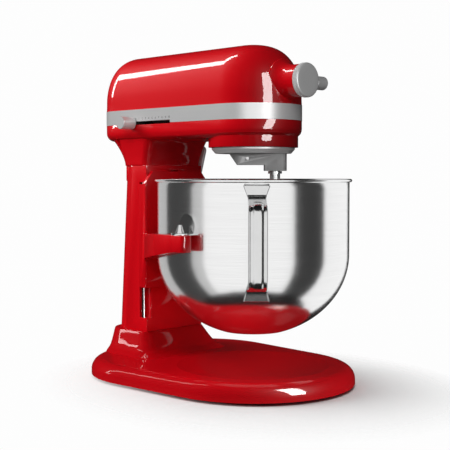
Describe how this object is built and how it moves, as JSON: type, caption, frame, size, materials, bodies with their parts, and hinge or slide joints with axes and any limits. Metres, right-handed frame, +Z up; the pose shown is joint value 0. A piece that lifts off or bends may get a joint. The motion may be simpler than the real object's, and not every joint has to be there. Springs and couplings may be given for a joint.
{
  "type": "bowl-lift stand mixer",
  "caption": "Counter-top stand mixer with a metal bowl on a lifting carrier, a planetary drive under its head and a front attachment hub.",
  "frame": {"origin": "on the surface it stands on, under the axis of the bowl and of the planetary drive", "axes": "+Z up, -Y towards the attachment hub (front), +Y towards the column (rear)"},
  "size_m": [0.282, 0.3723, 0.419],
  "materials": {
    "red_enamel": "glossy red baked enamel on cast metal",
    "satin_silver": "satin silver paint",
    "grey_casting": "satin grey paint on cast metal",
    "bowl_steel": "brushed stainless steel, lines run round the bowl",
    "polished_steel": "polished steel",
    "steel": "machined steel",
    "bronze": "sintered bronze",
    "copper": "enamelled copper wire",
    "laminations": "laminated core steel",
    "black_plastic": "moulded black plastic",
    "nylon": "natural nylon",
    "rubber": "black rubber",
    "carbon": "pressed carbon",
    "board": "glass-fibre board with parts"
  },
  "bodies": {
    "stand": {"base_casting": "red_enamel", "rubber_feet": "rubber", "column_casting": "red_enamel", "column_screws": "steel", "cord_gland": "black_plastic", "guide_rods": "polished_steel", "lower_head_housing": "red_enamel", "upper_head_cover": "red_enamel", "head_screws": "steel", "trim_band": "satin_silver", "hub_bushing": "bronze", "speed_switch": "black_plastic", "control_board": "board", "ring_gear": "steel", "gear_bearings": "bronze", "gear_frame": "grey_casting", "frame_screws": "steel", "motor_stator": "laminations", "field_coils": "copper", "motor_brackets": "black_plastic", "motor_bolts": "steel", "motor_bearings": "bronze", "carbon_brushes": "carbon", "brush_holders": "black_plastic", "lift_bushing": "bronze"},
    "planetary": {"planetary_casting": "grey_casting", "drip_ring": "satin_silver", "agitator_bushes": "bronze", "set_screw": "polished_steel", "centre_shaft": "steel", "centre_gear": "steel", "crown_bevel_gear": "steel"},
    "agitator": {"agitator_shaft": "steel", "agitator_pinion": "steel", "shaft_collar": "steel", "cross_pin": "steel"},
    "lay_train": {"lay_shaft": "steel", "lay_pinion": "steel", "worm_wheel": "nylon"},
    "motor_rotor": {"motor_shaft": "steel", "armature": "laminations", "commutator": "copper", "worm": "steel", "cooling_fan": "black_plastic"},
    "hub_drive": {"hub_spindle": "steel", "hub_bevel_pinion": "steel"},
    "hub_cover": {"hub_cap": "satin_silver"},
    "attachment_knob": {"hub_knob": "satin_silver"},
    "speed_control": {"speed_knob": "satin_silver", "speed_lever": "black_plastic"},
    "carrier": {"bowl_carrier": "red_enamel", "locating_pins": "polished_steel", "bowl_latch_spring": "polished_steel", "latch_screws": "steel"},
    "mixing_bowl": {"bowl": "bowl_steel", "bowl_handle": "polished_steel", "bowl_brackets": "polished_steel"},
    "lift_handle": {"lift_lever": "satin_silver", "lift_shaft": "steel", "lift_crank": "steel"}
  },
  "joints": [
    {"name": "planetary_spin", "type": "hinge", "parent": "stand", "child": "planetary", "pos_m": [0, 0, 0.29], "axis": [0, 0, 1], "continuous": true},
    {"name": "agitator_spin", "type": "hinge", "parent": "planetary", "child": "agitator", "pos_m": [0.01899, -0.01919, 0.26], "axis": [0, 0, 1], "continuous": true},
    {"name": "lay_spin", "type": "hinge", "parent": "stand", "child": "lay_train", "pos_m": [-0.028, 0.05476, 0.34], "axis": [0, 0, 1], "continuous": true},
    {"name": "motor_spin", "type": "hinge", "parent": "stand", "child": "motor_rotor", "pos_m": [0, 0.12, 0.363], "axis": [0, 1, 0], "continuous": true},
    {"name": "hub_spin", "type": "hinge", "parent": "stand", "child": "hub_drive", "pos_m": [0, -0.05, 0.372], "axis": [0, 1, 0], "continuous": true},
    {"name": "hub_cap_pull", "type": "slide", "parent": "stand", "child": "hub_cover", "axis": [0, -1, 0], "range_m": [0, 0.03]},
    {"name": "hub_knob_turn", "type": "hinge", "parent": "stand", "child": "attachment_knob", "pos_m": [0.04, -0.07, 0.372], "axis": [1, 0, 0], "continuous": true},
    {"name": "speed_slide", "type": "slide", "parent": "stand", "child": "speed_control", "axis": [0, -1, 0], "range_m": [0, 0.065]},
    {"name": "bowl_lift", "type": "slide", "parent": "stand", "child": "carrier", "axis": [0, 0, 1], "range_m": [-0.038, 0]},
    {"name": "lift_lever_turn", "type": "hinge", "parent": "stand", "child": "lift_handle", "pos_m": [0.05, 0.167, 0.238], "axis": [1, 0, 0], "range_deg": [-90, 0]},
    {"name": "bowl_off", "type": "slide", "parent": "carrier", "child": "mixing_bowl", "axis": [0, 0, 1], "range_m": [0, 0.015]}
  ],
  "couplings": [
    {"joint": "agitator_spin", "follows": "planetary_spin", "ratio": -2.5},
    {"joint": "lay_spin", "follows": "planetary_spin", "ratio": -3.1},
    {"joint": "motor_spin", "follows": "planetary_spin", "ratio": 31},
    {"joint": "hub_spin", "follows": "planetary_spin", "ratio": -1.5},
    {"joint": "lift_lever_turn", "follows": "bowl_lift", "rad_per_m": 41.33}
  ]
}
